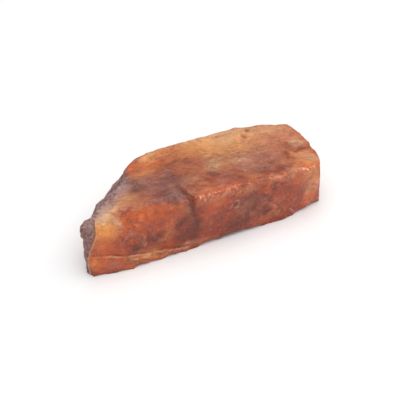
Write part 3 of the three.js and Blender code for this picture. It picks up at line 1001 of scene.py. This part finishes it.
def lip_distance(p):
    """Height over the ledge's seam in mm, pushed far away where there is no ledge."""
    on_ledge = ramp((-6 - p[:, 1]) / 1.5) * ramp(-7 - p[:, 0])
    return over_seam(p) + FAR_AWAY * (1 - on_ledge)


def rim_distance(p):
    """Distance to the line round the grey tip in mm, pushed far away behind the tip."""
    return tip_line(p) + FAR_AWAY * ramp(p[:, 1] + 5)


def opening_distance(p):
    """Distance to the crack in mm, pushed far away below the ridge and behind the middle."""
    x, y, z = p.T
    open_part = ramp((z - 12) / 3) * ramp((3 - y) / 4)
    return np.abs(crack_line(p)) + FAR_AWAY * (1 - open_part)


colour = painted_shade_in_hollows_and_foot(stone_points, colour)
print("mean colour with the marks, linear:", np.round(colour.mean(0), 3))

# %% [markdown]
# ## The rough strip and the tip
#
# The sloping strip and the end of the tip are an old outer surface, weathered grey with a
# sugary grain. It is palest next to the crease, and painted darker towards the outline and
# on the end of the tip, as shade. A slate and lilac band fades into the smooth top beside it.

# %% Colour of the strip and the tip, with painted shade at the outline
def weathered_and_shaded(p, colour):
    """A soft band beside the strip, then slate: lilac near the crease, and maroon as painted shade
    towards the outline and on the end of the tip.
    """
    x, y, z = p.T
    rough, side = rough_share(p), strip_side(p)
    patches = ramp(0.7 + noise(p, (2.5, 2, 2), 81.0))
    band = ramp((side + 3) / 1.8) * ramp((-19 - x) / 3) * ramp((z - 16) / 2) * ramp((y + 6.5) / 2.5)
    colour = mixed(colour, "slate", 0.5 * band)
    colour = mixed(colour, "lilac", 0.22 * band * patches)
    # painted shade on the end of the tip
    tip_end_shade = 0.6 * ramp((-tip_line(p) - 0.4) / 1.5) * ramp((17.5 - z) / 3)
    outer = np.maximum(ramp((side - 1) / 2), tip_end_shade)
    colour = mixed(colour, "slate", 0.9 * rough)
    colour = mixed(colour, "lilac", 0.3 * rough * (1 - outer) * patches)
    # painted shade: maroon towards the outline and on the end of the tip
    return mixed(colour, "maroon", 0.36 * rough * outer)


def crumbled(p, colour):
    """Painted highlight on the proud grains and painted shade in the hollows between them, along the
    broken ridge.
    """
    ridge, grain = ridge_share(p), sugar(p)
    # painted highlight on the proud grains
    colour = mixed(colour, "pink", 0.3 * ridge * ramp((-grain - 0.1) / 0.4))
    # painted shade in the hollows between the grains
    return mixed(colour, "maroon", 0.5 * ridge * ramp((grain - 0.2) / 0.4))


colour = crumbled(stone_points, weathered_and_shaded(stone_points, colour))

# %% Store the clouds and the distances on the mesh
def store(name, values):
    """One number for each vertex, under a name that the material reads."""
    attribute = stone_mesh.attributes.new(name, "FLOAT", "POINT")
    attribute.data.foreach_set("value", values.astype(np.float32))


rgba = np.concatenate([colour, np.ones((len(colour), 1))], -1)
attribute = stone_mesh.color_attributes.new("jade_colour", "FLOAT_COLOR", "POINT")
attribute.data.foreach_set("color", rgba.astype(np.float32).ravel())
store("level", ramp((stone_points[:, 2] - 13) / 3) * ramp((stone_points[:, 1] + 8) / 2))
store("rough", rough_share(stone_points))
# where the painted glints go: the crumbled ridge
store("glint_share", ridge_share(stone_points))
# distances for the painted highlight and shade lines at the ledge, the tip and the crack
store("lip", lip_distance(stone_points))
store("rim", rim_distance(stone_points))
store("opening", opening_distance(stone_points))
print("mean colour, linear:", np.round(colour.mean(0), 3))

# %% [markdown]
# ## The finish: waxy, slightly see-through stone
#
# Broken jade has a waxy shine, and light travels a millimetre or two into it before it
# comes out again, redder. One Principled shader does both. Its base colour is the stored
# clouds, to which nodes add what is finer than the mesh: grain and specks, thin wisps,
# painted glints on the crumbled ridge, the painted highlights and painted shade at the
# ledge and the tip, and painted shade in the crack. Its subsurface scattering carries the
# glow. One noise gives both the roughness and a small bump. Values that are the same
# everywhere are set straight on the shader.

# %% Small helpers for nodes
def add_node(tree, kind, **inputs):
    """A new node of that kind with some of its inputs set by name."""
    node = tree.nodes.new(kind)
    for name, value in inputs.items():
        node.inputs[name.replace("_", " ")].default_value = value
    return node


def join(tree, value, socket):
    """Feed a socket from another node's socket, or set it to a plain value."""
    if isinstance(value, bpy.types.NodeSocket):
        tree.links.new(value, socket)
    else:
        socket.default_value = value


def noise_texture(tree, coordinates, scale, detail=4.0, roughness=0.55):
    """Blender's own noise read from the object's coordinates, which are in metres."""
    node = add_node(tree, "ShaderNodeTexNoise", Scale=scale, Detail=detail, Roughness=roughness)
    tree.links.new(coordinates, node.inputs["Vector"])
    return node.outputs["Fac"]


def drawn_out(tree, coordinates, turn, stretch):
    """Coordinates for a noise that is stretched along a line turned about Z from X."""
    mapping = add_node(tree, "ShaderNodeMapping", Rotation=(0, 0, turn), Scale=(stretch, 1, 1))
    mapping.vector_type = "TEXTURE"
    tree.links.new(coordinates, mapping.inputs["Vector"])
    return mapping.outputs["Vector"]


def remap(tree, value, low, high, to_low, to_high):
    """Stretch the part of the value from low to high over to_low to to_high."""
    node = add_node(tree, "ShaderNodeMapRange", From_Min=low, From_Max=high)
    for name, given in (("Value", value), ("To Min", to_low), ("To Max", to_high)):
        join(tree, given, node.inputs[name])
    return node.outputs["Result"]


def stored(tree, name, output="Fac"):
    """An attribute of the mesh by its name."""
    node = tree.nodes.new("ShaderNodeAttribute")
    node.attribute_name = name
    return node.outputs[output]


def line_share(tree, value, centre, half_width):
    """1 where the value equals the centre, falling to 0 at half_width on both sides."""
    node = tree.nodes.new("ShaderNodeMath")
    node.operation = "SUBTRACT"
    tree.links.new(value, node.inputs[0])
    node.inputs[1].default_value = centre
    size = tree.nodes.new("ShaderNodeMath")
    size.operation = "ABSOLUTE"
    tree.links.new(node.outputs[0], size.inputs[0])
    return remap(tree, size.outputs[0], 0.0, half_width, 1.0, 0.0)


def multiply(tree, first, second):
    """The product of two sockets."""
    node = tree.nodes.new("ShaderNodeMath")
    node.operation = "MULTIPLY"
    tree.links.new(first, node.inputs[0])
    tree.links.new(second, node.inputs[1])
    return node.outputs[0]


def mix_colour(tree, share, first, second, blend="MIX"):
    """Mix two colours by a share; each is a socket or a plain colour."""
    node = tree.nodes.new("ShaderNodeMix")
    node.data_type = "RGBA"
    node.blend_type = blend
    sockets = {socket.identifier: socket for socket in node.inputs}
    for name, value in (("Factor_Float", share), ("A_Color", first), ("B_Color", second)):
        join(tree, value, sockets[name])
    return next(socket for socket in node.outputs if socket.identifier == "Result_Color")


# %% [markdown]
# The grain only changes the brightness: it is a noise that is drawn out lengthways on the
# top and round on the front, with dark and pale specks, and a slow noise makes it strong
# in some patches and weak in others. A scale counts the cells of a noise in one metre, so
# 1000 gives grains of about a millimetre.

# %% Grain, specks and wisps
ROUND_GRAIN, LONG_GRAIN, GRAIN_STRETCH = 1100, 1500, 2.5
DARK_SPECKS, PALE_SPECKS, BUSY_PATCHES = 900, 1050, 160
WISPS = [(150, 0.15, "cream"), (120, 0.2, "maroon")]


def textured(tree, place, colour):
    """Colour times the shade of grain and specks, with thin wisps where a noise is near 0.5."""
    stretched = drawn_out(tree, place, STREAK_TURN, GRAIN_STRETCH)
    lengthways = noise_texture(tree, stretched, LONG_GRAIN, 3.0, 0.6)
    level, round_grain = stored(tree, "level"), noise_texture(tree, place, ROUND_GRAIN, 1.5, 0.6)
    grain = mix_colour(tree, level, round_grain, lengthways)
    busy = noise_texture(tree, place, BUSY_PATCHES, 2.0)
    darkest = remap(tree, busy, 0.42, 0.6, 0.9, 0.7)
    palest = remap(tree, busy, 0.42, 0.6, 1.1, 1.26)
    shade = remap(tree, grain, 0.3, 0.7, darkest, palest)
    dark = noise_texture(tree, place, DARK_SPECKS, 1.0)
    shade = multiply(tree, shade, remap(tree, dark, 0.58, 0.7, 1.0, darkest))
    pale = noise_texture(tree, place, PALE_SPECKS, 1.0)
    shade = multiply(tree, shade, remap(tree, pale, 0.6, 0.72, 1.0, palest))
    colour = mix_colour(tree, 1.0, colour, shade, "MULTIPLY")
    for scale, share, name in WISPS:
        wisps = line_share(tree, noise_texture(tree, place, scale, 1.5), 0.5, 0.012)
        patches = remap(tree, noise_texture(tree, place, scale / 2, 1.0), 0.5, 0.62, 0.0, share)
        colour = mix_colour(tree, multiply(tree, wisps, patches), colour, plain(name))
    return colour


print("grain of about %.1f mm on the front" % (1000 / ROUND_GRAIN))

# %% Grit, painted glints, and lines of painted highlight and shade
GRIT, RIDGE_GLINTS, LINE_BREAKS = 1150, 1000, 400
# half widths of the painted highlight lines, of the painted shade beside them, and of the painted
# shade in the crack
HIGHLIGHT_LINE, SHADE_LINE, CRACK_LINE = 0.28, 0.4, 0.3
SHADE_BESIDE = {"lip": 0.5, "rim": -0.55}


def grit_and_ridge_glints(tree, place, colour):
    """Grit, dark where its noise is high and lilac where low, and painted glints on the crumbled
    ridge.
    """
    rough, grit = stored(tree, "rough"), noise_texture(tree, place, GRIT, 3.0, 0.65)
    dark = multiply(tree, remap(tree, grit, 0.52, 0.62, 0.0, 0.7), rough)
    pale = multiply(tree, remap(tree, grit, 0.34, 0.46, 0.6, 0.0), rough)
    colour = mix_colour(tree, dark, colour, plain("shadow"))
    colour = mix_colour(tree, pale, colour, plain("lilac"))
    # painted glints: pale specks on the crumbled ridge, standing in for highlights
    glint_share = remap(tree, noise_texture(tree, place, RIDGE_GLINTS, 1.5), 0.58, 0.66, 0.0, 0.95)
    return mix_colour(tree, multiply(tree, glint_share, stored(tree, "glint_share")), colour, plain("glint"))


def lit_and_shaded_lines(tree, place, colour):
    """Painted highlights along the ledge's lip and round the tip, painted shade beside each, and
    painted shade in the crack.
    """
    broken = remap(tree, noise_texture(tree, place, LINE_BREAKS, 2.0), 0.35, 0.6, 0.2, 0.75)
    for name, beside in SHADE_BESIDE.items():
        # painted shade: just above the lip, and in the open seam beside the tip's rim
        dark = line_share(tree, stored(tree, name), beside, SHADE_LINE)
        colour = mix_colour(tree, multiply(tree, dark, broken), colour, plain("maroon"))
        # painted highlight on the lit edge of the lip and of the tip's rim
        pale = line_share(tree, stored(tree, name), 0.0, HIGHLIGHT_LINE)
        colour = mix_colour(tree, multiply(tree, pale, broken), colour, plain("cream"))
    # painted shade in the open crack
    opening = line_share(tree, stored(tree, "opening"), 0.0, CRACK_LINE)
    return mix_colour(tree, opening, colour, plain("maroon"))


print("pale lines", 2 * HIGHLIGHT_LINE, "mm wide, dark ones", 2 * SHADE_LINE, "mm")

# %% The jade material
SHINE_GRAIN, SMOOTHEST, ROUGHEST, BUMP_HEIGHT = 1000, 0.28, 0.55, 0.4 * MM
SHINE = {
    "IOR": 1.6,
    "Specular IOR Level": 0.38,
    "Subsurface Weight": 0.35,
    "Subsurface Radius": (1.0, 0.4, 0.2),
    "Subsurface Scale": 1.0 * MM,
}


def jade_material():
    """Principled shader: waxy, slightly see-through, rougher where the grain is coarse."""
    material = bpy.data.materials.new("jade")
    material.use_nodes = True
    tree = material.node_tree
    shader = tree.nodes["Principled BSDF"]
    place = tree.nodes.new("ShaderNodeTexCoord").outputs["Object"]
    colour = stored(tree, "jade_colour", "Color")
    for step in (textured, grit_and_ridge_glints, lit_and_shaded_lines):
        colour = step(tree, place, colour)
    tree.links.new(colour, shader.inputs["Base Color"])

    grain = noise_texture(tree, place, SHINE_GRAIN, 2.0, 0.6)
    tree.links.new(remap(tree, grain, 0.3, 0.7, SMOOTHEST, ROUGHEST), shader.inputs["Roughness"])
    for name, value in SHINE.items():
        shader.inputs[name].default_value = value

    bump = add_node(tree, "ShaderNodeBump", Strength=1.0, Distance=BUMP_HEIGHT)
    tree.links.new(grain, bump.inputs["Height"])
    tree.links.new(bump.outputs["Normal"], shader.inputs["Normal"])
    return material


stone_finish = jade_material()
stone_mesh.materials.append(stone_finish)
print("material", stone_finish.name, "has", len(stone_finish.node_tree.nodes), "nodes")

# %% [markdown]
# ## The studio
#
# The stone lies on a plain pale floor under soft, even light: a white surround that
# fills every shadow, and one broad panel above that makes the top face a third brighter
# than the front. The camera looks down by 40 degrees, from 26 degrees left of straight
# in front.

# %% Floor and light
FLOOR_HALF = 0.9
PAPER_WHITE, SURROUND = (0.93, 0.93, 0.93, 1), 0.3
PANEL_PLACE, PANEL_SIZE, PANEL_POWER = (0.1, -0.13, 1.15), 1.6, 18.1

floor_mesh = bpy.data.meshes.new("floor")
corners = [(-FLOOR_HALF, -FLOOR_HALF, 0), (FLOOR_HALF, -FLOOR_HALF, 0)]
corners += [(FLOOR_HALF, FLOOR_HALF, 0), (-FLOOR_HALF, FLOOR_HALF, 0)]
floor_mesh.from_pydata(corners, [], [(0, 1, 2, 3)])
floor = bpy.data.objects.new("floor", floor_mesh)
bpy.context.scene.collection.objects.link(floor)
floor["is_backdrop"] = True

paper = bpy.data.materials.new("pale_paper")
paper.use_nodes = True
paper_shader = paper.node_tree.nodes["Principled BSDF"]
paper_shader.inputs["Base Color"].default_value = PAPER_WHITE
paper_shader.inputs["Roughness"].default_value = 0.9
floor_mesh.materials.append(paper)

world = bpy.data.worlds.new("white_surround")
world.use_nodes = True
world.node_tree.nodes["Background"].inputs["Color"].default_value = (1, 1, 1, 1)
world.node_tree.nodes["Background"].inputs["Strength"].default_value = SURROUND
bpy.context.scene.world = world

panel_light = bpy.data.lights.new("overhead_panel", "AREA")
panel_light.shape = "SQUARE"
panel_light.size = PANEL_SIZE
panel_light.energy = PANEL_POWER
panel = bpy.data.objects.new("overhead_panel", panel_light)
panel.location = PANEL_PLACE
panel.rotation_euler = (-Vector(PANEL_PLACE)).to_track_quat("-Z", "Y").to_euler()
bpy.context.scene.collection.objects.link(panel)
print("a panel of", PANEL_SIZE, "m, at", PANEL_PLACE)

# %% The camera
AZIMUTH, ELEVATION = np.radians(-26), np.radians(40)
DISTANCE, AIM_HEIGHT = 260.0, 9.0
LENS, SENSOR = 78.3, 36.0
aim = np.array([0.0, 0.0, AIM_HEIGHT]) + shift
away = np.array([
    np.sin(AZIMUTH) * np.cos(ELEVATION),
    -np.cos(AZIMUTH) * np.cos(ELEVATION),
    np.sin(ELEVATION),
])
camera_data = bpy.data.cameras.new("camera")
camera_data.sensor_width = SENSOR
camera_data.lens = LENS
camera_data.clip_start = 0.01
camera = bpy.data.objects.new("camera", camera_data)
camera.location = (aim + away * DISTANCE) * MM
camera.rotation_euler = (np.pi / 2 - ELEVATION, 0, AZIMUTH)
bpy.context.scene.collection.objects.link(camera)
bpy.context.scene.camera = camera
bpy.context.scene.view_settings.view_transform = "Standard"
print("camera at", np.round(camera.location, 3), "m")

# %% [markdown]
# ## The size
#
# The box of the dressed stone and the box of the frame are printed side by side.

# %% Sizes
boxes = {"cad": cad_box, "visual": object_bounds()}
boxes = {name: [list(map(float, corner)) for corner in box] for name, box in boxes.items()}
print(boxes)
